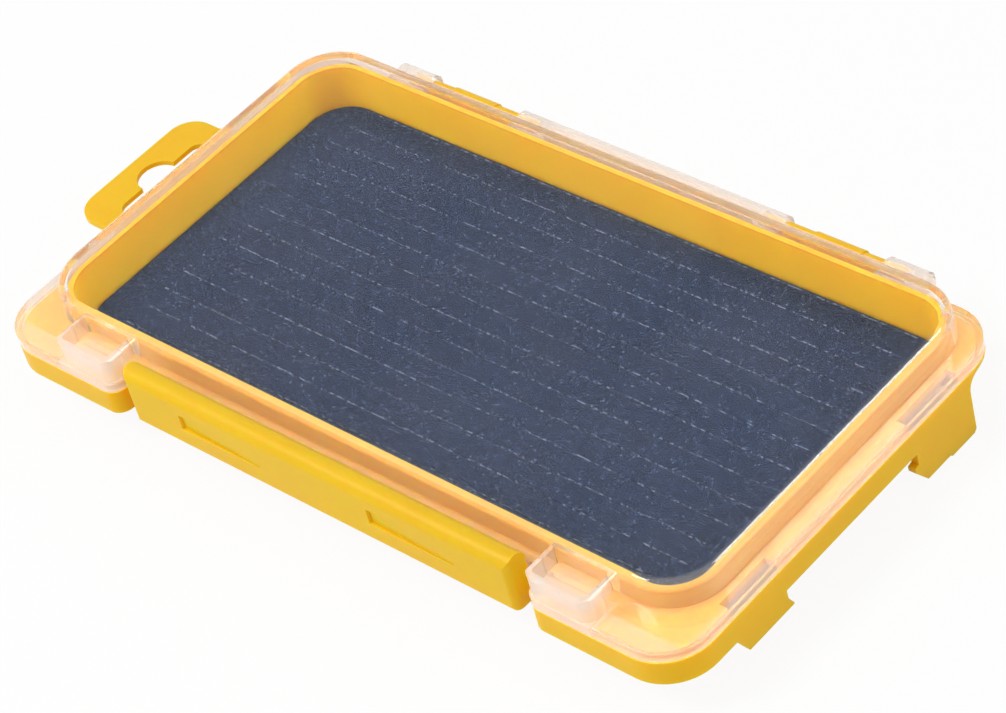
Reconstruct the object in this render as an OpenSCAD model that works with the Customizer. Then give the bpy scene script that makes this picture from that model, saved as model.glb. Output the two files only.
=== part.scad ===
// Slim fly box: yellow base tray, clear hinged lid, wide front latch and a slit foam sheet.
// The origin is the middle of the tray's flat underside. The latch is at -Y, the hang tab at -X.

/* [Case] */
// Length of the case without the hang tab
case_l = 184.4; // [170:0.2:210]
// Inside depth of the tray from front to back
tray_w = 84.6; // [76:0.2:100]
// Width of the ledge at each short end, from the tray's inside to the edge
side_ledge = 7.6; // [7:0.1:11]
// Width of the ledge in front, from the tray's inside to the edge
front_ledge = 12.5; // [12.3:0.1:15]
// Width of the ledge behind, from the tray's inside to the edge
rear_ledge = 4.2; // [4:0.1:7]
// Radius of the case's four corners in plan
case_r = 10.8; // [9.5:0.1:13]
// Radius of the tray's inside corners in plan
tray_r = 9.2; // [8:0.1:11]

/* [Base tray] */
// Height of the tray wall's top edge above the underside
tray_h = 20.2; // [19.4:0.1:24]
// Thickness of the tray floor
floor_t = 1.6; // [1.2:0.1:2.4]
// Thickness of the tray wall
wall_t = 1.4; // [1:0.1:1.8]
// Slope of the tray wall, in degrees
draft = 1; // [0.5:0.1:1.5]
// Radius of the tray's bottom edge
foot_r = 2; // [1.9:0.1:2.4]
// Height of the line where the lid's rim meets the base band
split_z = 14.5; // [14.2:0.1:17]
// Height of the outer band below that line
band_h = 5.6; // [4.5:0.1:6.5]
// Thickness of the outer band
band_t = 1.6; // [1.2:0.1:2]
// Thickness of the ledge
ledge_t = 1.8; // [1.4:0.1:2.2]
// Radius of the hollow where the band ends behind the rear leg
band_end_r = 3.6; // [2:0.1:4]

/* [Lid] */
// Wall thickness of the lid
lid_t = 1.3; // [1:0.1:1.6]
// Height of the lid's rim, from the split line to the flange top
lid_edge_h = 2.5; // [2.3:0.1:3.2]
// Height of the dome above the flange
dome_h = 6.5; // [5.8:0.1:9]
// Slope of the dome wall, in degrees
dome_draft = 5; // [3:0.5:7]
// Radius of the dome's top edge
dome_r = 1.5; // [1:0.1:2]
// Gap between the lid and the base where they seat
seat_gap = 0.2; // [0.15:0.05:0.3]
// Gap between the dome wall and the tray wall
dome_gap = 0.5; // [0.4:0.1:0.8]

/* [Front pads] */
// Distance from the middle to a pad's inner end
pad_x0 = 55.8; // [55:0.1:60]
// Length of a pad along the case
pad_l = 16; // [14:0.1:22]
// Height of a pad below the dome's top
pad_drop = 0.8; // [0.5:0.1:1.5]
// Distance between a pad's faces and the block that it stands on
pad_in = 0.5; // [0.4:0.1:0.9]
// Wall between a pad's faces and the pocket in its top
pad_wall = 1.4; // [1:0.1:2.4]
// Radius of a pad's top edges
pad_edge_r = 1; // [0.6:0.1:1.2]
// Depth of the pocket in a pad's top
pocket_d = 4; // [1:0.1:4.4]

/* [Latch] */
// Length of the latch
latch_l = 104.8; // [90:0.2:105]
// Height of the latch's lower edge above the underside
latch_z0 = 9.5; // [9.2:0.1:12]
// Height of the latch's pivot above the underside
pivot_z = 20.1; // [19.7:0.1:22]
// Outer radius of the latch's rolled top
roll_r = 2.6; // [2.5:0.1:3]
// Radius of the lid's pivot rod
rod_r = 1.25; // [1.1:0.05:1.3]
// Wall thickness of the latch
latch_t = 1.2; // [1:0.05:1.4]
// Radius of the latch's upright front edges
latch_end_r = 1.8; // [1.2:0.1:2.2]
// Depth of the latch from its face to the back of its end walls
latch_d = 5; // [4.4:0.1:5.4]
// Distance of the latch's face behind the front edge
latch_back = 0.7; // [0.3:0.1:1]
// Widest opening of the latch, in degrees, used to cut its roll
latch_open = 80; // [60:1:85]
// Length of a grip recess in the latch's face
grip_l = 22.4; // [15:0.2:26]
// Distance from the middle to a grip recess
grip_x0 = 14.8; // [8:0.2:20]
// Height of a grip recess
grip_h = 3.8; // [2.5:0.1:4.5]
// Height of a grip recess's lower edge above the underside
grip_z0 = 14.2; // [13.6:0.1:15]
// Depth of a grip recess at its deep end
grip_d = 0.7; // [0.4:0.05:0.8]
// Length of a catch rib
catch_l = 12; // [8:0.5:20]
// Gap between a catch rib and the catch ledge
catch_gap = 0.3; // [0.25:0.05:0.5]

/* [Rear hinge] */
// Distance of the hinge axis behind the case's rear edge
hinge_out = 3.5; // [3.3:0.1:4.5]
// Height of the hinge axis above the underside
hinge_z = 15.2; // [15:0.1:17]
// Radius of the hinge rods
hinge_rod_r = 1.6; // [1.1:0.05:1.65]
// Running clearance of rods in their bores
run_gap = 0.08; // [0.05:0.01:0.1]
// Outer radius of the lid's knuckles
knuckle_r = 2.7; // [2.5:0.05:2.9]
// Outer radius of the base's lugs
lug_r = 1.9; // [1.8:0.05:2.3]
// Half length of the middle knuckle
mid_knuckle = 36.2; // [30:0.2:38]
// Distance from the middle to a lug's inner end
lug_x0 = 43.2; // [42:0.2:44]
// Length of a lug
lug_l = 12; // [8:0.2:13]
// Distance from the middle to an end knuckle's inner end
end_knuckle_x0 = 60.8; // [59:0.2:62]
// Length of an end knuckle
end_knuckle_l = 10.4; // [9:0.1:14]
// Depth of the bores in the knuckles
bore_d = 6; // [4:0.5:7]

/* [Clips, legs and tab] */
// Thickness of the clips and legs
clip_t = 1.8; // [1.4:0.1:2.2]
// Distance from the middle to the front clip's middle
clip_y = 31; // [28:0.5:33]
// Width of the front clip where it leaves the band
clip_w = 14.4; // [10:0.2:16]
// Height of the front clip's lower edge above the underside
clip_z = 4.3; // [2:0.1:6]
// Distance from the middle to the rear leg's front edge
leg_y = 16.3; // [14:0.1:19]
// Width of the rear leg
leg_w = 17.4; // [14:0.2:18]
// Height of the leg's hooked half above the underside
hook_z = 0.6; // [0.3:0.1:2]
// How far the hooks' toes stand out
toe = 1.2; // [0.6:0.1:1.6]
// Reach of the hang tab beyond the case
tab_l = 15.3; // [13:0.1:18]
// Width of the hang tab
tab_w = 36.2; // [32:0.2:44]
// Thickness of the hang tab
tab_t = 1.2; // [1:0.1:1.9]
// Height of the hang tab's underside above the tray's underside
tab_z = 12.6; // [10:0.1:12.6]
// Radius of the hang tab's corners
tab_r = 6; // [3:0.1:7]
// Length of the hanger slot
slot_l = 25; // [20:0.2:27]
// Width of the hanger slot
slot_w = 5.3; // [4:0.1:6]
// Width of the bar between the slot and the case
slot_in = 1.6; // [1:0.1:3]
// Width of the hanger slot's round middle
bump_w = 9.6; // [6:0.1:12]
// How far the round middle reaches past the slot
bump_d = 4.6; // [2:0.1:4.7]

/* [Foam] */
// Thickness of the foam sheet
foam_t = 8.5; // [6:0.1:9]
// Thickness of the adhesive film
film_t = 0.3; // [0.2:0.05:0.4]
// Gap between the foam's edge and the tray wall
foam_gap = 0.3; // [0.1:0.05:0.6]
// Number of slits in the foam
slits = 13; // [5:1:13]
// Distance from one slit to the next
slit_pitch = 5.8; // [4:0.1:5.8]
// Depth of a slit
slit_d = 5; // [3:0.1:6]
// Width of a slit
slit_w = 0.3; // [0.2:0.05:0.5]
// Distance between a slit's end and the foam's edge
slit_margin = 8.8; // [4:0.1:12]

/* [Hidden] */
$fn = 64;
eps = 0.01;
yellow = [0.96, 0.78, 0.12];

// Case outline
case_hx = case_l / 2;
y_front = -tray_w / 2 - front_ledge;
y_rear = tray_w / 2 + rear_ledge;

// Tray
tray_hx = case_hx - side_ledge;
tray_hy = tray_w / 2;
wall_hx = tray_hx + wall_t;
wall_hy = tray_hy + wall_t;
band_z0 = split_z - band_h;
flange_z = split_z + lid_edge_h;
ledge_z1 = flange_z - lid_t - seat_gap;
ledge_z0 = ledge_z1 - ledge_t;

// The floor plate laps the wall's profile; the wall's top edge and inner fold
floor_lap = 6;
rim_r = 0.6;
fold = 0.6;
fold_z = floor_t + fold;

// Lid
dome_z1 = flange_z + dome_h;
dome_hx = wall_hx + dome_gap + lid_t;
dome_hy = wall_hy + dome_gap + lid_t;
dome_plan_r = tray_r + wall_t + dome_gap + lid_t;
pad_z1 = dome_z1 - pad_drop;
window_lap = 7;

// Latch pivot and the front recess
latch_y = y_front + latch_back;
pivot_y = latch_y + roll_r;
barrel_in_r = rod_r + run_gap;
end_gap = 0.5;
recess_y = latch_y + latch_d + end_gap;
tongue_hx = latch_l / 2 - latch_t - end_gap;
tongue_y = latch_y + latch_t + 0.4;
catch_ledge_y = tongue_y + 0.6;
block_r = 3.3;

// Rear hinge
hinge_y = y_rear + hinge_out;

// Foam, inside the fold at the foot of the tray's wall
foam_z0 = floor_t + film_t;
foam_z1 = foam_z0 + foam_t;
foam_hx = tray_hx - inset_at(foam_z0) - fold + film_t - foam_gap;
foam_hy = tray_hy - inset_at(foam_z0) - fold + film_t - foam_gap;
film_in = 1.2;

// How far the tray's drafted wall has come in at height z
function inset_at(z) = (tray_h - z) * tan(draft);

// A rounded rectangle from (x0, y0) to (x1, y1), in true arcs
module plate_2d(x0, y0, x1, y1, r) {
    translate([x0 + r, y0]) square([x1 - x0 - 2 * r, y1 - y0]);
    translate([x0, y0 + r]) square([x1 - x0, y1 - y0 - 2 * r]);
    for (x = [x0 + r, x1 - r], y = [y0 + r, y1 - r]) translate([x, y]) circle(r);
}

// A rounded rectangle about the middle, drawn in by a margin
module inset_plate_2d(hx, hy, margin, r) {
    plate_2d(-hx + margin, -hy + margin, hx - margin, hy - margin, r);
}

// Sweeps a profile (x outwards, y up) round a rounded rectangle
module sweep(hx, hy, r) {
    for (turn = [0, 180]) rotate([0, 0, turn]) {
        translate([0, hy, 0]) rotate([90, 0, 90]) linear_extrude(2 * (hx - r), center = true) children();
        translate([hx, 0, 0]) rotate([90, 0, 0]) linear_extrude(2 * (hy - r), center = true) children();
    }
    for (mx = [0, 1], my = [0, 1]) mirror([mx, 0, 0]) mirror([0, my, 0])
        translate([hx - r, hy - r, 0]) rotate_extrude(angle = 90) translate([r, 0]) children();
}

// Plan of the case, drawn in by a margin, with the recess for the latch between two round-cornered blocks
module case_2d(margin, recess) {
    half = pad_x0 + margin;
    r = block_r - margin;
    recess_y1 = recess_y + margin;
    difference() {
        plate_2d(-case_hx + margin, y_front + margin, case_hx - margin, y_rear - margin, case_r - margin);
        if (recess) translate([-half - r, y_front - 1]) square([2 * (half + r), recess_y1 - y_front + 1]);
    }
    if (recess) for (mx = [0, 1]) mirror([mx, 0]) {
        translate([half + r, y_front + margin + r]) circle(r);
        translate([half, y_front + margin + r]) square([r + 1, recess_y1 - y_front - margin - r + 1]);
    }
}

// Wall of the tray, with its rounded foot and rim; its inner end meets the floor plate
module tray_profile() {
    foot_in = inset_at(0);
    polygon([[-floor_lap, 0], [wall_t - foot_in - foot_r, 0], [wall_t - foot_in, foot_r],
             [wall_t, tray_h - rim_r], [wall_t - rim_r, tray_h], [0, tray_h], [-inset_at(fold_z), fold_z],
             [-inset_at(floor_t) - fold, floor_t], [-floor_lap, floor_t]]);
    translate([wall_t - foot_in - foot_r, foot_r]) intersection() {
        difference() {
            circle(foot_r);
            circle(foot_r - wall_t);
        }
        translate([0, -2 * foot_r]) square(2 * foot_r);
    }
    intersection() {
        translate([wall_t - rim_r, tray_h - rim_r]) circle(rim_r);
        translate([wall_t - rim_r, tray_h - rim_r]) square(2 * rim_r);
    }
}

// Side view of the front clip: a barb at its rear edge
module clip_2d() {
    y0 = -clip_y - clip_w / 2;
    y1 = -clip_y + clip_w / 2;
    polygon([[y0, ledge_z0], [y0, band_z0 - 0.4], [y0 + 1, band_z0 - 2], [y0 + 2.4, clip_z], [y1 + toe, clip_z],
             [y1 + toe, clip_z + 0.4], [y1, clip_z + 2.6], [y1, ledge_z0]]);
}

// Side view of the rear leg: a hook with a toe in front, a plain foot behind
module leg_2d() {
    split_y = leg_y + 0.53 * leg_w;
    polygon([[leg_y, ledge_z0], [leg_y, clip_z + 1.8], [leg_y - toe, clip_z + 1.5], [leg_y - toe, clip_z + 0.4],
             [leg_y + 1.9, hook_z], [split_y + 1, hook_z], [split_y + 1, ledge_z0]]);
    polygon([[split_y, ledge_z0], [split_y, 0.3], [split_y + 0.3, 0], [leg_y + leg_w - 0.7, 0],
             [leg_y + leg_w, 0.7], [leg_y + leg_w, ledge_z0]]);
}

// Hang tab in plan, with its hanger slot
module tab_2d() {
    x0 = -case_hx - tab_l;
    slot_x1 = -case_hx - slot_in;
    slot_x0 = slot_x1 - slot_w;
    slot_r = slot_w / 2 - 0.2;
    difference() {
        plate_2d(x0, -tab_w / 2, -case_hx + tab_r + band_t / 2, tab_w / 2, tab_r);
        translate([-case_hx + band_t / 2, -tab_w]) square(2 * tab_w);
        plate_2d(slot_x0, -slot_l / 2, slot_x1, slot_l / 2, slot_r);
        translate([slot_x0 + bump_w / 2 - bump_d, 0]) circle(d = bump_w);
    }
}

// A lug on the base's rear edge, with the rod that runs through it
module base_lug() {
    lug_x1 = lug_x0 + lug_l;
    rod_x0 = mid_knuckle - bore_d + 0.5;
    rod_x1 = end_knuckle_x0 + bore_d - 1;
    translate([lug_x0, hinge_y, hinge_z]) rotate([0, 90, 0]) cylinder(r = lug_r, h = lug_l);
    translate([rod_x0, hinge_y, hinge_z]) rotate([0, 90, 0]) cylinder(r = hinge_rod_r, h = rod_x1 - rod_x0);
    translate([lug_x0, y_rear - 3, hinge_z - lug_r]) cube([lug_l, hinge_out + 3, split_z - 0.2 - hinge_z + lug_r]);
}

module base_tray() {
    color(yellow) difference() {
        union() {
            sweep(tray_hx, tray_hy, tray_r) tray_profile();
            linear_extrude(floor_t) inset_plate_2d(tray_hx, tray_hy, floor_lap - 1, tray_r - floor_lap + 1);
            ledge();
            band();
            for (mx = [0, 1]) mirror([mx, 0, 0]) {
                side_clips();
                base_lug();
                ledge_ribs();
            }
            translate([0, 0, tab_z]) linear_extrude(tab_t) tab_2d();
        }
        for (mx = [0, 1]) mirror([mx, 0, 0]) clip_windows();
    }
}

// The ledge round the tray, lower at its edge where the lid's rim sits
module ledge() {
    rim_in = lid_t + 0.4;
    difference() {
        union() {
            translate([0, 0, ledge_z0]) linear_extrude(split_z - ledge_z0) case_2d(0, true);
            translate([0, 0, ledge_z0]) linear_extrude(ledge_t) case_2d(rim_in, true);
            translate([-tongue_hx, catch_ledge_y, ledge_z0]) cube([2 * tongue_hx, recess_y - catch_ledge_y + 3, ledge_t]);
        }
        translate([0, 0, ledge_z0 - 1]) linear_extrude(ledge_t + 3)
            plate_2d(-wall_hx + 0.3, -wall_hy + 0.3, wall_hx - 0.3, wall_hy - 0.3, tray_r + wall_t - 0.3);
    }
}

// The outer band below the ledge; behind the rear legs it is cut away
module band() {
    end_y = leg_y + leg_w;
    difference() {
        translate([0, 0, band_z0]) linear_extrude(ledge_z0 - band_z0 + eps) difference() {
            case_2d(0, true);
            case_2d(band_t, true);
        }
        rotate([90, 0, 90]) linear_extrude(2 * case_l, center = true) {
            translate([end_y + band_end_r, band_z0 - 1]) square([case_l, ledge_z0 - band_z0 + 1]);
            translate([end_y, band_z0 - 1]) square([band_end_r + eps, ledge_z0 - band_z0 + 1 - band_end_r]);
            translate([end_y + band_end_r, ledge_z0 - band_end_r]) circle(band_end_r);
        }
    }
}

// Clip and leg at the right-hand end, flush with the band
module side_clips() {
    translate([case_hx - clip_t, 0, 0]) rotate([90, 0, 90]) linear_extrude(clip_t) {
        clip_2d();
        leg_2d();
    }
}

// Ribs under the ledge, between the tray wall and the band
module ledge_ribs() {
    rib_t = 1.2;
    x0 = wall_hx - 0.5;
    for (y = [-clip_y - clip_w / 2 - 3, 0, leg_y + leg_w - rib_t])
        translate([x0, y, band_z0 + 1]) cube([case_hx - band_t / 2 - x0, rib_t, ledge_z0 - band_z0 - 1 + eps]);
    for (x = [pad_x0 + 8, case_hx - case_r - 6])
        translate([x, y_front + band_t / 2, band_z0 + 1])
            cube([rib_t, -wall_hy + 0.5 - y_front - band_t / 2, ledge_z0 - band_z0 - 1 + eps]);
}

// Slots in the ledge above the barbs, where the mould shuts off
module clip_windows() {
    win_x1 = case_hx - band_t + 0.1;
    win_w = 2.4;
    for (span = [[-clip_y - clip_w / 2 + 1, clip_w - 1], [leg_y, leg_w - 1.5]])
        translate([win_x1 - win_w, span[0], ledge_z0 - 1]) cube([win_w, span[1], ledge_t + 2]);
}

module foam_sheet() {
    color([0.22, 0.24, 0.32]) difference() {
        translate([0, 0, foam_z0]) linear_extrude(foam_t) plate_2d(-foam_hx, -foam_hy, foam_hx, foam_hy, tray_r - foam_gap);
        for (i = [0:slits - 1]) translate([0, (i - (slits - 1) / 2) * slit_pitch, foam_z1])
            cube([2 * (foam_hx - slit_margin), slit_w, 2 * slit_d], center = true);
    }
}

module foam_film() {
    color([0.9, 0.88, 0.8]) translate([0, 0, floor_t]) linear_extrude(film_t)
        inset_plate_2d(foam_hx, foam_hy, film_in, tray_r - film_in);
}

// Wall of the dome: drafted, with a rounded top edge; its inner end meets the window
module dome_profile() {
    lean = (dome_z1 - dome_r - flange_z) * tan(dome_draft);
    r_in = dome_r - 0.7;
    top_z = dome_z1 - dome_r;
    ceiling = dome_z1 - lid_t;
    foot_z = flange_z - lid_t;
    blend = dome_r / 10;
    polygon([[-window_lap, dome_z1], [-lean - dome_r, dome_z1], [-lean - blend * tan(dome_draft), top_z + blend],
             [0, flange_z], [0, foot_z], [-lid_t, foot_z], [-lid_t - lean, ceiling - r_in],
             [-lid_t - lean - r_in, ceiling], [-window_lap, ceiling]]);
    intersection() {
        translate([-lean - dome_r, top_z]) circle(dome_r);
        translate([-lean - dome_r, top_z - 2 * blend]) square(2 * dome_r);
    }
}

// Flange of the lid with its turned-down rim
module flange() {
    rim_in = lid_t;
    inner = lid_t / 2;
    difference() {
        union() {
            translate([0, 0, flange_z - lid_t]) linear_extrude(lid_t) {
                case_2d(0, true);
                translate([-tongue_hx, tongue_y]) square([2 * tongue_hx, recess_y - tongue_y + 3]);
            }
            translate([0, 0, split_z + seat_gap]) linear_extrude(lid_edge_h - seat_gap - lid_t + eps) difference() {
                case_2d(0, true);
                case_2d(rim_in, true);
                translate([-pad_x0 - 1, recess_y - 2]) square([2 * pad_x0 + 2, 2 + rim_in + 1]);
            }
        }
        translate([0, 0, flange_z - lid_t - 1]) linear_extrude(lid_t + 2)
            plate_2d(-dome_hx + inner, -dome_hy + inner, dome_hx - inner, dome_hy - inner, dome_plan_r - inner);
    }
}

// Raised pad beside the latch, with rounded edges and a pocket in its top; its rear end lies in the dome's wall
module front_pad() {
    x0 = pad_x0 + pad_in;
    x1 = x0 + pad_l;
    y0 = y_front + pad_in;
    y1 = -dome_hy + 1.2;
    corner_r = block_r - pad_in;
    over = 0.04;
    difference() {
        intersection() {
            translate([0, 0, flange_z - eps]) linear_extrude(dome_h) plate_2d(x0, y0, x1, y1 + 2 * corner_r, corner_r);
            rotate([90, 0, 0]) linear_extrude(-y_front)
                plate_2d(x0 - over, flange_z - lid_t, x1 + over, pad_z1, pad_edge_r);
            translate([x0 - 1, 0, 0]) rotate([90, 0, 90]) linear_extrude(pad_l + 2) intersection() {
                plate_2d(y0 - over, flange_z - lid_t, y1 + 2 * pad_edge_r, pad_z1, pad_edge_r);
                translate([y_front, 0]) square([y1 - y_front, dome_z1]);
            }
        }
        translate([0, 0, pad_z1 - pocket_d]) linear_extrude(pocket_d + 1)
            plate_2d(x0 + pad_wall, y0 + pad_wall, x1 - pad_wall, y1 - pad_wall, pad_edge_r);
    }
}

// Rod that the latch snaps on, on a web above the tongue
module latch_rod() {
    web_y0 = tongue_y;
    translate([0, pivot_y, pivot_z]) rotate([0, 90, 0]) cylinder(r = rod_r, h = 2 * tongue_hx, center = true);
    translate([-tongue_hx, web_y0, flange_z - eps]) cube([2 * tongue_hx, pivot_y - web_y0, pivot_z - flange_z]);
}

// A knuckle with sloped ends on its web, bored for the base's rods
module knuckle(x0, x1, bores) {
    web_t = lid_t;
    end_slope = 0.5;
    difference() {
        union() {
            translate([x0 + end_slope, hinge_y, hinge_z]) rotate([0, 90, 0])
                cylinder(r = knuckle_r, h = x1 - x0 - 2 * end_slope);
            translate([x0, hinge_y, hinge_z]) rotate([0, 90, 0])
                cylinder(r1 = knuckle_r - end_slope, r2 = knuckle_r, h = end_slope);
            translate([x1 - end_slope, hinge_y, hinge_z]) rotate([0, 90, 0])
                cylinder(r1 = knuckle_r, r2 = knuckle_r - end_slope, h = end_slope);
            translate([x0, y_rear - 1, flange_z - web_t]) cube([x1 - x0, hinge_out + 1, web_t]);
        }
        for (b = bores) translate([b[0], hinge_y, hinge_z]) rotate([0, 90, 0])
            cylinder(r = hinge_rod_r + run_gap, h = b[1]);
    }
}

module lid() {
    color([0.92, 0.95, 0.97, 0.5]) union() {
        sweep(dome_hx, dome_hy, dome_plan_r) dome_profile();
        translate([0, 0, dome_z1 - lid_t]) linear_extrude(lid_t)
            inset_plate_2d(dome_hx, dome_hy, window_lap - 1, dome_plan_r - window_lap + 1);
        flange();
        for (mx = [0, 1]) mirror([mx, 0, 0]) {
            front_pad();
            knuckle(end_knuckle_x0, end_knuckle_x0 + end_knuckle_l, [[end_knuckle_x0 - 1, bore_d + 1]]);
        }
        latch_rod();
        difference() {
            knuckle(-mid_knuckle, mid_knuckle,
                [[-mid_knuckle - 1, bore_d + 1], [mid_knuckle - bore_d, bore_d + 1]]);
            core_x = mid_knuckle - bore_d - 2;
            translate([-core_x, hinge_y - 1.2, hinge_z - knuckle_r - 1]) cube([2 * core_x, 2.4, knuckle_r + 1.6]);
        }
    }
}

// Section of the latch: a face wall and a rolled top that hooks round the rod
module latch_2d() {
    back_a = 90 - latch_open - 4;
    difference() {
        union() {
            translate([latch_y, latch_z0 + 0.6]) square([latch_t, pivot_z - latch_z0 - 0.6]);
            translate([latch_y + 0.6, latch_z0]) square([latch_t - 0.6, 1]);
            translate([latch_y + 0.6, latch_z0 + 0.6]) circle(0.6);
            translate([pivot_y, pivot_z]) circle(roll_r);
        }
        translate([pivot_y, pivot_z]) {
            circle(barrel_in_r);
            polygon([[0, 0], [4 * cos(back_a), 4 * sin(back_a)], [4, -4], [-barrel_in_r, -4], [-barrel_in_r, 0]]);
        }
    }
}

// End wall of the latch in side view: the rolled top over a rounded wall
module latch_end_2d() {
    translate([pivot_y, pivot_z]) circle(roll_r);
    plate_2d(latch_y, latch_z0, latch_y + latch_d, pivot_z, 1);
    translate([latch_y, latch_z0 + 3]) square([latch_d, pivot_z - latch_z0 - 3]);
}

// The latch, trimmed to its length by a plan with round front corners
module latch() {
    over = 0.03;
    color(yellow) difference() {
        intersection() {
            union() {
                rotate([90, 0, 90]) linear_extrude(latch_l + 2, center = true) latch_2d();
                for (mx = [0, 1]) mirror([mx, 0, 0]) translate([latch_l / 2 - latch_t, 0, 0])
                    rotate([90, 0, 90]) linear_extrude(latch_t + 1) latch_end_2d();
                for (x = [-grip_x0 - grip_l / 2, grip_x0 + grip_l / 2]) catch_rib(x);
            }
            translate([0, 0, latch_z0 - 1]) linear_extrude(pivot_z + roll_r - latch_z0 + 2)
                plate_2d(-latch_l / 2, latch_y - over, latch_l / 2, latch_y + 3 * latch_d, latch_end_r);
        }
        for (x = [-grip_x0 - grip_l, grip_x0]) grip_recess(x);
    }
}

// Rib inside the latch that snaps under the base's catch ledge
module catch_rib(x) {
    tip = catch_ledge_y - catch_gap;
    top = ledge_z0 - 0.3;
    translate([x - catch_l / 2, 0, 0]) rotate([90, 0, 90]) linear_extrude(catch_l)
        polygon([[latch_y + 0.5, top], [tip, top], [tip, top - 0.5], [latch_y + 0.5, top - 2.2]]);
}

// Shallow grip recess in the face, deeper at its left end
module grip_recess(x) {
    translate([x, latch_y, grip_z0]) linear_extrude(grip_h)
        polygon([[0, -1], [0.6, grip_d], [grip_l * 0.3, grip_d * 0.75], [grip_l, 0.15], [grip_l, -1]]);
}

base_tray();
foam_sheet();
foam_film();
lid();
latch();
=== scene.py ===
import math
import bpy
from mathutils import Matrix, Vector, noise


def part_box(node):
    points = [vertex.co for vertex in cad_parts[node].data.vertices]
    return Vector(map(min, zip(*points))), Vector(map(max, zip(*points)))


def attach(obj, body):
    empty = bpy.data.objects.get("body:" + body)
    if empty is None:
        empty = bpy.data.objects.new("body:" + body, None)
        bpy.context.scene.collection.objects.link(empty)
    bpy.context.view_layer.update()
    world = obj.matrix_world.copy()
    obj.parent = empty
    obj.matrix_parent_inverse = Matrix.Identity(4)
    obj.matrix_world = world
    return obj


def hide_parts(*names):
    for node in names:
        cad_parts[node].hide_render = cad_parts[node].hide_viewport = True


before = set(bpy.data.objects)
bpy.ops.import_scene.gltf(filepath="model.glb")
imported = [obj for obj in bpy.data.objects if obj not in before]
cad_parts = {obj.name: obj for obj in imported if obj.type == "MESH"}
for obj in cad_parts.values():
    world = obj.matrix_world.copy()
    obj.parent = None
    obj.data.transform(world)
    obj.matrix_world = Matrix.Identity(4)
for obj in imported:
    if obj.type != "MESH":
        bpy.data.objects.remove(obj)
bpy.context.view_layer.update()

MM = 0.001

# Camera, solved from the straight edges of the box
WIDTH_PX = 1006
FOCAL_PX = 3667.16
SENSOR_MM = 36.0
CAMERA_AT = (0.434907, -0.339511, 0.495127)
CAMERA_RIGHT = (0.735420, 0.645587, -0.205850)
CAMERA_DOWN = (0.333801, -0.609527, -0.719064)
CAMERA_FORWARD = (-0.589690, 0.460102, -0.663756)
CLIP_START = 0.01

# Light: the floor's own white where it is seen, the soft light all round, and the lamps in watts
FLOOR_GLOW = 0.92
WORLD_LIGHT = 0.48
WORLD_COLOR = (1.0, 0.985, 0.965, 1)
WHITE = (1, 1, 1, 1)
KEY_W, EDGE_W, FILL_W = 8.0, 7.0, 1.8
FLOOR_HALF = 3.0
FLOOR_Z = -0.2 * MM

# Foam sheet: its slits and corners as in the CAD
SLITS = 13
SLIT_PITCH = 5.8 * MM
SLIT_DEPTH = 5.0 * MM
SLIT_MARGIN = 8.8 * MM
FOAM_CORNER_R = 8.9 * MM

# Foam sheet: what the mesh adds to the CAD's plain block
FOAM_INSET = 0.04 * MM
FOAM_TOP_DROP = 0.12 * MM
FOAM_EDGE_R = 0.35 * MM
CORNER_COLUMNS = 9
SLIT_COLUMNS = 124
MARGIN_LINES = 4
SLIT_END_TAPER = 2.5 * MM
SLIT_END_WIDTH = 0.15
SWELL = 0.05 * MM
SWELL_DROP = 0.03 * MM
LIP_WIDTH = 0.12 * MM
LIP_DROP = 0.14 * MM
LIP_SPREAD = 0.012 * MM
SLIT_BOTTOM = 0.02 * MM
LEAST_GAPE = 0.02 * MM
SLIT_DRIFT = 0.02 * MM
SIDE_WOBBLE = 0.03 * MM

# Lid: the dome's plan as in the CAD, and where its pads, knuckles and outer rim begin
DOME_HX = 87.8 * MM
DOME_HY = 45.5 * MM
DOME_PLAN_R = 12.4 * MM
PAD_X0, PAD_X1 = 55.8 * MM, 72.0 * MM
PAD_Y = -47.2 * MM
KNUCKLE_Y = 48.0 * MM
RIM_X = 90.8 * MM
RIM_Y = -50.0 * MM

# Tray: how far the painted shade on its thin lip, under the lid's flange, reaches
LIP_SHADE_REACH_X = 88.5 * MM
LIP_SHADE_REACH_Y = 46.2 * MM
LIP_Z = 20.1 * MM


def srgb(r, g, b):
    """A linear colour from 8-bit screen values."""
    def lin(v):
        v /= 255
        return v / 12.92 if v <= 0.04045 else ((v + 0.055) / 1.055) ** 2.4
    return (lin(r), lin(g), lin(b), 1.0)


def link(name, data):
    """A new object of this data, in the scene."""
    obj = bpy.data.objects.new(name, data)
    bpy.context.scene.collection.objects.link(obj)
    return obj


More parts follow.
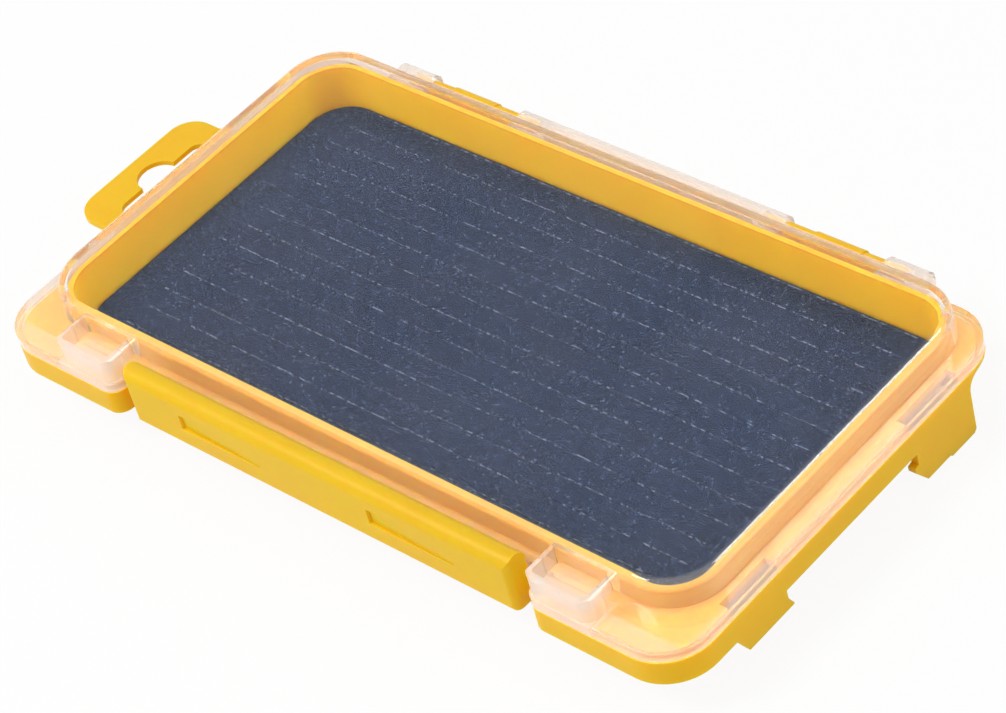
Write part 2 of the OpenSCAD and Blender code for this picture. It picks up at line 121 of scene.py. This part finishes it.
class Nodes:
    """Short names for building the node tree of a material or of the world."""

    def __init__(self, owner, output="ShaderNodeOutputMaterial"):
        owner.use_nodes = True
        self.owner = owner
        self.tree = owner.node_tree
        self.tree.nodes.clear()
        self.out = self.add(output)

    def add(self, kind, inputs=None, **props):
        node = self.tree.nodes.new(kind)
        for key, value in props.items():
            setattr(node, key, value)
        for key, value in (inputs or {}).items():
            self.set(node.inputs[key], value)
        return node

    def set(self, socket, value):
        if isinstance(value, bpy.types.NodeSocket):
            self.tree.links.new(value, socket)
        else:
            socket.default_value = value

    def place(self):
        """Object coordinates: metres in the part's own frame."""
        return self.add("ShaderNodeTexCoord").outputs["Object"]

    def place_xyz(self):
        split = self.add("ShaderNodeSeparateXYZ", {"Vector": self.place()})
        return split.outputs["X"], split.outputs["Y"], split.outputs["Z"]

    def noise(self, scale, detail, rough, stretch=None):
        """Noise with features of about 1 / scale metres, in a stretched space if a stretch is given."""
        vector = self.place()
        if stretch:
            vector = self.add("ShaderNodeMapping", {"Vector": vector, "Scale": stretch}).outputs["Vector"]
        return self.add("ShaderNodeTexNoise", {
            "Vector": vector, "Scale": scale, "Detail": detail, "Roughness": rough}).outputs["Fac"]

    def math(self, op, a, b=None):
        node = self.add("ShaderNodeMath", operation=op)
        self.set(node.inputs[0], a)
        if b is not None:
            self.set(node.inputs[1], b)
        return node.outputs[0]

    def plus(self, a, b):
        return self.math("ADD", a, b)

    def minus(self, a, b):
        return self.math("SUBTRACT", a, b)

    def times(self, a, b):
        return self.math("MULTIPLY", a, b)

    def larger(self, a, b):
        return self.math("MAXIMUM", a, b)

    def ramp(self, value, lo, hi, out_lo=0.0, out_hi=1.0):
        """A smooth step from out_lo at lo to out_hi at hi, where lo may be the larger."""
        return self.add("ShaderNodeMapRange", {
            "Value": value, "From Min": lo, "From Max": hi, "To Min": out_lo, "To Max": out_hi},
            interpolation_type="SMOOTHSTEP").outputs["Result"]

    def mix(self, fac, a, b):
        node = self.add("ShaderNodeMix", data_type="RGBA")
        self.set(node.inputs["Factor"], fac)
        self.set(node.inputs["A"], a)
        self.set(node.inputs["B"], b)
        return node.outputs["Result"]

    def mix_shader(self, fac, a, b):
        return self.add("ShaderNodeMixShader", {0: fac, 1: a, 2: b}).outputs["Shader"]

    def bump(self, height, strength, distance):
        return self.add("ShaderNodeBump", {
            "Height": height, "Strength": strength, "Distance": distance}).outputs["Normal"]

    def principled(self, inputs):
        return self.add("ShaderNodeBsdfPrincipled", inputs).outputs["BSDF"]

    def seen(self):
        """1 for a camera, glossy or transmission ray, and 0 for the rays that light things."""
        path = self.add("ShaderNodeLightPath")
        return self.larger(path.outputs["Is Camera Ray"],
                           self.larger(path.outputs["Is Glossy Ray"], path.outputs["Is Transmission Ray"]))

    def surface(self, shader):
        self.tree.links.new(shader, self.out.inputs["Surface"])
        return self.owner


def material_nodes(name):
    return Nodes(bpy.data.materials.new(name))


def yellow_plastic():
    """Moulded polypropylene: warm yellow, satin skin, faint flow clouds, light under the skin, and painted shade that
    makes its thin lip under the lid's flange a deeper orange.
    """
    m = material_nodes("yellow_plastic")
    x, y, z = m.place_xyz()
    cloud = m.noise(55.0, 3.0, 0.55)
    fine = m.noise(2600.0, 2.0, 0.6)
    base = m.mix(m.ramp(cloud, 0.3, 0.7), srgb(245, 193, 20), srgb(248, 198, 26))
    # painted shade: the tray's lip under the lid's flange is painted a deeper orange to stand in for the shade there
    lip_shade = m.times(m.ramp(z, LIP_Z - 0.8 * MM, LIP_Z),
                  m.times(m.ramp(m.math("ABSOLUTE", y), LIP_SHADE_REACH_Y + 0.8 * MM, LIP_SHADE_REACH_Y),
                          m.ramp(m.math("ABSOLUTE", x), LIP_SHADE_REACH_X + 1.0 * MM, LIP_SHADE_REACH_X)))
    base = m.mix(m.times(lip_shade, 0.85), base, srgb(232, 168, 44))
    rough = m.ramp(m.plus(m.times(cloud, 0.5), m.times(fine, 0.5)), 0.3, 0.7, 0.36, 0.48)
    return m.surface(m.principled({
        "Base Color": base, "Roughness": rough, "Normal": m.bump(fine, 0.12, 0.12 * MM),
        "IOR": 1.49, "Specular IOR Level": 0.25, "Subsurface Weight": 0.8,
        "Subsurface Radius": (2.6 * MM, 1.2 * MM, 0.3 * MM), "Subsurface Scale": 1.0}))


def clear_plastic():
    """Clear moulding: a see-through window, milkier in the dome's wall, the outer rim, the pads and the knuckles."""
    m = material_nodes("clear_plastic")
    x, y, _ = m.place_xyz()
    ax, ay = m.math("ABSOLUTE", x), m.math("ABSOLUTE", y)
    # away: distance outwards from the dome's rounded plan
    over_x = m.larger(m.minus(ax, DOME_HX - DOME_PLAN_R), 0.0)
    over_y = m.larger(m.minus(ay, DOME_HY - DOME_PLAN_R), 0.0)
    away = m.minus(m.math("SQRT", m.plus(m.times(over_x, over_x), m.times(over_y, over_y))), DOME_PLAN_R)
    outside = m.ramp(away, -2.2 * MM, -1.2 * MM)
    wall = m.times(outside, m.ramp(away, 0.6 * MM, 0.2 * MM))
    rim = m.larger(m.ramp(ax, RIM_X - 1.1 * MM, RIM_X), m.ramp(y, RIM_Y + 1.0 * MM, RIM_Y))
    pads = m.times(m.ramp(y, PAD_Y + 1.0 * MM, PAD_Y),
                   m.times(m.ramp(ax, PAD_X0 - 0.6 * MM, PAD_X0), m.ramp(ax, PAD_X1 + 0.6 * MM, PAD_X1)))
    thick = m.larger(pads, m.ramp(y, KNUCKLE_Y - 1.0 * MM, KNUCKLE_Y))
    cloud = m.noise(38.0, 3.0, 0.5)
    fine = m.noise(1700.0, 2.0, 0.5)
    haze = m.plus(m.plus(m.times(wall, 0.04), m.times(thick, 0.18)),
                  m.plus(m.times(cloud, 0.015), m.plus(m.times(outside, 0.07), m.times(rim, 0.12))))
    tint = m.mix(outside, srgb(244, 244, 247), srgb(243, 232, 222))
    rough = m.plus(m.ramp(cloud, 0.3, 0.7, 0.03, 0.06), m.times(m.larger(thick, rim), 0.13))
    grain = m.bump(m.plus(cloud, m.times(fine, 0.15)), 0.05, 0.2 * MM)
    # the window's low index keeps the white world's reflection off the dark foam; a coat gives the edges their shine
    glass = m.principled({
        "Base Color": tint, "Roughness": rough, "Normal": grain, "IOR": 1.16, "Transmission Weight": 1.0,
        "Coat Weight": outside, "Coat Roughness": 0.05, "Coat IOR": 1.5, "Coat Normal": grain})
    milk = m.principled({"Base Color": srgb(250, 244, 238), "Roughness": rough, "Normal": grain, "IOR": 1.49})
    cloudy = m.mix_shader(haze, glass, milk)
    shadow = m.add("ShaderNodeBsdfTransparent", {"Color": srgb(238, 230, 220)}).outputs["BSDF"]
    path = m.add("ShaderNodeLightPath")
    return m.surface(m.mix_shader(path.outputs["Is Shadow Ray"], cloudy, shadow))


def foam_material(foam_hx):
    """Closed-cell foam: dark blue-grey, fine cells, pale specks, and a painted highlight of pale dots along the slits'
    lips.
    """
    m = material_nodes("foam")
    x, y, _ = m.place_xyz()
    cloud = m.noise(26.0, 3.0, 0.6)
    cell = m.noise(2200.0, 2.0, 0.7)
    speck = m.noise(2100.0, 1.0, 0.5)
    dark = m.mix(m.ramp(cloud, 0.3, 0.7), srgb(8, 21, 40), srgb(16, 30, 50))
    base = m.mix(m.ramp(cell, 0.36, 0.72), dark, srgb(46, 61, 88))
    base = m.mix(m.ramp(speck, 0.64, 0.76, 0.0, 0.6), base, srgb(120, 134, 160))
    # lane: distance from the nearest line midway between two slits; the shift only keeps the value positive
    lane = m.math("PINGPONG", m.plus(y, 50.5 * SLIT_PITCH), 0.5 * SLIT_PITCH)
    near = m.ramp(m.math("ABSOLUTE", m.minus(lane, 0.5 * SLIT_PITCH)), 0.26 * MM, 0.08 * MM)
    slit_x = foam_hx - SLIT_MARGIN
    inside = m.ramp(m.math("ABSOLUTE", x), slit_x, slit_x - 0.5 * MM)
    patchy = m.ramp(m.noise(1300.0, 2.0, 0.7, stretch=(0.7, 1.0, 1.0)), 0.48, 0.62, 0.05, 1.0)
    # painted highlight: pale dots along the slits stand in for the light that their lips catch
    slit_highlight = m.times(m.times(near, inside), patchy)
    base = m.mix(m.times(slit_highlight, 0.6), base, srgb(150, 158, 178))
    return m.surface(m.principled({
        "Base Color": base, "Roughness": 0.9, "IOR": 1.4, "Specular IOR Level": 0.15,
        "Normal": m.bump(m.plus(cell, m.times(speck, 0.4)), 0.35, 0.1 * MM)}))


def film_material():
    """Adhesive film: pale, slightly cloudy and satin."""
    m = material_nodes("adhesive_film")
    cloud = m.noise(120.0, 3.0, 0.6)
    return m.surface(m.principled({
        "Base Color": m.mix(cloud, srgb(214, 206, 184), srgb(228, 222, 204)),
        "Roughness": m.ramp(cloud, 0.3, 0.7, 0.35, 0.5), "IOR": 1.47, "Normal": m.bump(cloud, 0.2, 0.2 * MM)}))


def floor_material():
    """Pale floor: takes the object's shadow, and shows as white where it is seen."""
    m = material_nodes("floor_white")
    diffuse = m.add("ShaderNodeBsdfDiffuse", {"Color": srgb(246, 246, 246)}).outputs["BSDF"]
    glow = m.add("ShaderNodeEmission", {"Color": WHITE, "Strength": 1.0}).outputs["Emission"]
    return m.surface(m.mix_shader(m.times(m.seen(), FLOOR_GLOW), diffuse, glow))


def paint(obj, mat):
    obj.data.materials.clear()
    obj.data.materials.append(mat)


def steps(a, b, count):
    """Evenly spaced values from a to b, both included."""
    return [a + (b - a) * k / count for k in range(count + 1)]


def wave(x, y, scale, seed):
    """Smooth noise from -1 to 1."""
    return noise.noise(Vector((x * scale, y * scale, seed)))


def slit_lines(hy):
    """The grid's lines across the foam: y at rest, the slit it belongs to (or None) and its place beside the slit.

    The place is negative on the slit's -Y side. It is 1 at the lip's outer line, 2 at its edge and 3 at the bottom.
    """
    first = -(SLITS - 1) / 2 * SLIT_PITCH
    lines = [(y, None, 0.0) for y in steps(-hy, first - 0.5 * SLIT_PITCH, MARGIN_LINES)]
    for k in range(SLITS):
        mid = first + k * SLIT_PITCH
        lines += [(mid + off * MM, None, 0.0) for off in (-1.9, -1.1, -0.6, -0.34)]
        lines += [(mid, k, place) for place in (-1, -2, -3, 3, 2, 1)]
        lines += [(mid + off * MM, None, 0.0) for off in (0.34, 0.6, 1.1, 1.9, 2.9)]
    # the last line between two slits gives way to the margin's first
    lines.pop()
    return lines + [(y, None, 0.0) for y in steps(first + (SLITS - 0.5) * SLIT_PITCH, hy, MARGIN_LINES)]


def foam_columns(hx, slit_x):
    """The grid's lines along the foam: close over the slits, and round the corners."""
    corner = [-hx + FOAM_CORNER_R * (1 - math.cos(a)) for a in steps(0.0, math.pi / 2, CORNER_COLUMNS)[:-1]]
    corner = [x for x in corner if x < -slit_x - 1.2 * MM] + [-slit_x - 0.6 * MM]
    return corner + steps(-slit_x, slit_x, SLIT_COLUMNS) + [-x for x in reversed(corner)]


def foam_top_point(x, y, slit, place, taper, z_top):
    """One point of the foam's top: a slight unevenness, a swell between slits, and the slits' parted lips."""
    z = z_top + 0.05 * MM * wave(x, y, 160.0, 1.7) + 0.025 * MM * wave(x, y, 620.0, 4.1)
    lane = abs((y / SLIT_PITCH + 0.5 * (SLITS - 1) + 0.5) % 1.0 - 0.5) * 2
    if abs(y) < SLITS / 2 * SLIT_PITCH:
        z += SWELL * taper * (1 - (1 - lane) ** 2) - SWELL_DROP
    if slit is None:
        return y, z
    side = 1 if place > 0 else -1
    level = abs(place)
    gape = (0.04 + 0.03 * wave(x, slit * 3.1, 90.0, 9.3) + 0.03 * wave(x, slit * 1.7, 420.0, 2.9)) * MM
    gape = max(gape, LEAST_GAPE)
    wide = (gape + LIP_WIDTH, gape, SLIT_BOTTOM)[level - 1]
    drop = (0.0, LIP_DROP, SLIT_DEPTH)[level - 1]
    drift = SLIT_DRIFT * wave(x, slit * 2.3, 40.0, 7.7)
    y = y + drift * taper + side * (wide * max(taper, SLIT_END_WIDTH) + LIP_SPREAD * (4 - level))
    return y, z - drop * taper


def foam_piece(box_lo, box_hi):
    """The foam sheet: soft cut edges, a top that swells a little between slits, and slits whose lips part unevenly."""
    hx, hy = box_hi[0] - FOAM_INSET, box_hi[1] - FOAM_INSET
    z_top, z_low = box_hi[2] - FOAM_TOP_DROP, box_lo[2]
    r = FOAM_CORNER_R
    slit_x = box_hi[0] - SLIT_MARGIN
    columns, lines = foam_columns(hx, slit_x), slit_lines(hy)

    verts = []
    for x in columns:
        over = abs(x) - (hx - r)
        reach = hy - r + math.sqrt(max(r * r - over * over, 0.0)) if over > 0 else hy
        taper = min(max((slit_x - abs(x)) / SLIT_END_TAPER, 0.0), 1.0)
        for line_y, slit, place in lines:
            y, z = foam_top_point(x, line_y, slit, place, taper, z_top)
            verts.append((x, y * reach / hy, z))
    rows, cols = len(columns), len(lines)
    faces = [(i * cols + j, (i + 1) * cols + j, (i + 1) * cols + j + 1, i * cols + j + 1)
             for i in range(rows - 1) for j in range(cols - 1)]
    ring = ([i * cols for i in range(rows)] + [(rows - 1) * cols + j for j in range(1, cols)]
            + [i * cols + cols - 1 for i in range(rows - 2, -1, -1)] + [j for j in range(cols - 2, 0, -1)])

    def outward(x, y):
        """The way out of the rounded plan at its edge."""
        cx, cy = max(abs(x) - (hx - r), 0.0), max(abs(y) - (hy - r), 0.0)
        if cx == 0 and cy == 0:
            if hx - abs(x) < hy - abs(y):
                return Vector((math.copysign(1, x), 0))
            return Vector((0, math.copysign(1, y)))
        return Vector((math.copysign(cx, x), math.copysign(cy, y))).normalized()

    # the top's own edge moves in, so that the rings below can round it
    edge = [verts[k] for k in ring]
    for k in ring:
        x, y, z = verts[k]
        n = outward(x, y)
        verts[k] = (x - n.x * FOAM_EDGE_R, y - n.y * FOAM_EDGE_R, z)

    # rings round the edge and down the side: how far in, and how far below the top
    round_levels = [(-FOAM_EDGE_R * (1 - math.sin(a)), -FOAM_EDGE_R * (1 - math.cos(a)))
                    for a in (math.radians(30), math.radians(60), math.radians(90))]
    side_levels = [(0.0, -(z_top - z_low) * t) for t in (0.3, 0.6)] + [(0.0, z_low - z_top)]
    count = len(ring)
    for depth, (inset, drop) in enumerate(round_levels + side_levels):
        start = len(verts)
        for x, y, z in edge:
            n = outward(x, y)
            wobble = SIDE_WOBBLE * wave(x + y, drop, 210.0, 5.5) - SIDE_WOBBLE
            shift = inset + (wobble if depth > 1 else 0.0)
            level = z + drop if depth < len(round_levels) else z_top + drop
            verts.append((x + n.x * shift, y + n.y * shift, max(level, z_low)))
        for k in range(count):
            a, b = ring[k], ring[(k + 1) % count]
            faces.append((b, a, start + k, start + (k + 1) % count))
        ring = list(range(start, start + count))
    faces.append(tuple(ring))

    mesh = bpy.data.meshes.new("foam_pad")
    mesh.from_pydata(verts, [], faces)
    mesh.validate()
    mesh.update()
    for poly in mesh.polygons:
        poly.use_smooth = True
    return link("foam_pad", mesh)


def area_lamp(name, at, aim, size, power, along=(1, 0, 0)):
    """A rectangle that faces aim, with its first side laid along a direction."""
    data = bpy.data.lights.new(name, "AREA")
    data.shape = "RECTANGLE"
    data.size, data.size_y = size
    data.energy = power
    lamp = link(name, data)
    back = (Vector(at) - Vector(aim)).normalized()
    side = Vector(along)
    side = (side - side.dot(back) * back).normalized()
    lamp.matrix_world = Matrix.Translation(at) @ Matrix((side, back.cross(side), back)).transposed().to_4x4()
    return lamp


# Pieces: the CAD's own meshes with their materials, and the foam's detailed mesh in place of its CAD solid
yellow = yellow_plastic()
for name, mat in (("base_tray", yellow), ("latch", yellow), ("lid", clear_plastic()), ("foam_film", film_material())):
    paint(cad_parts[name], mat)

foam_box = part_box("foam_sheet")
foam_pad = foam_piece(*foam_box)
paint(foam_pad, foam_material(foam_box[1][0]))
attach(foam_pad, "base")
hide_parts("foam_sheet")

# Camera
camera_data = bpy.data.cameras.new("camera")
camera_data.sensor_fit = "HORIZONTAL"
camera_data.sensor_width = SENSOR_MM
camera_data.lens = FOCAL_PX * SENSOR_MM / WIDTH_PX
camera_data.clip_start = CLIP_START
camera = link("camera", camera_data)
right, down, forward = (Vector(v) for v in (CAMERA_RIGHT, CAMERA_DOWN, CAMERA_FORWARD))
camera.matrix_world = Matrix.Translation(CAMERA_AT) @ Matrix((right, -down, -forward)).transposed().to_4x4()
bpy.context.scene.camera = camera

# Floor
floor_mesh = bpy.data.meshes.new("floor")
floor_mesh.from_pydata([(sx * FLOOR_HALF, sy * FLOOR_HALF, 0) for sx, sy in ((-1, -1), (1, -1), (1, 1), (-1, 1))],
                       [], [(0, 1, 2, 3)])
floor = link("floor", floor_mesh)
floor.location.z = FLOOR_Z
paint(floor, floor_material())

# World: soft light all round, and plain white where it is seen
world = bpy.data.worlds.new("world")
bpy.context.scene.world = world
w = Nodes(world, "ShaderNodeOutputWorld")
soft = w.add("ShaderNodeBackground", {"Color": WORLD_COLOR, "Strength": WORLD_LIGHT}).outputs["Background"]
white = w.add("ShaderNodeBackground", {"Color": WHITE, "Strength": 1.0}).outputs["Background"]
w.surface(w.mix_shader(w.seen(), soft, white))

# Lamps: the key from the front left, a card for the shine along the dome's right edge, and a fill from the right
area_lamp("key", (-0.40, -0.62, 1.0), (0, 0, 0), (0.4, 0.4), KEY_W)
edge_card = area_lamp("edge", (0.40, 0.50, 0.80), (0.086, 0, 0.022), (0.40, 0.45), EDGE_W, along=(0, 1, 0))
edge_card.visible_diffuse = False
area_lamp("fill", (0.90, 0.25, 0.55), (0, 0, 0), (0.5, 0.5), FILL_W)

bpy.context.scene.view_settings.view_transform = "Standard"
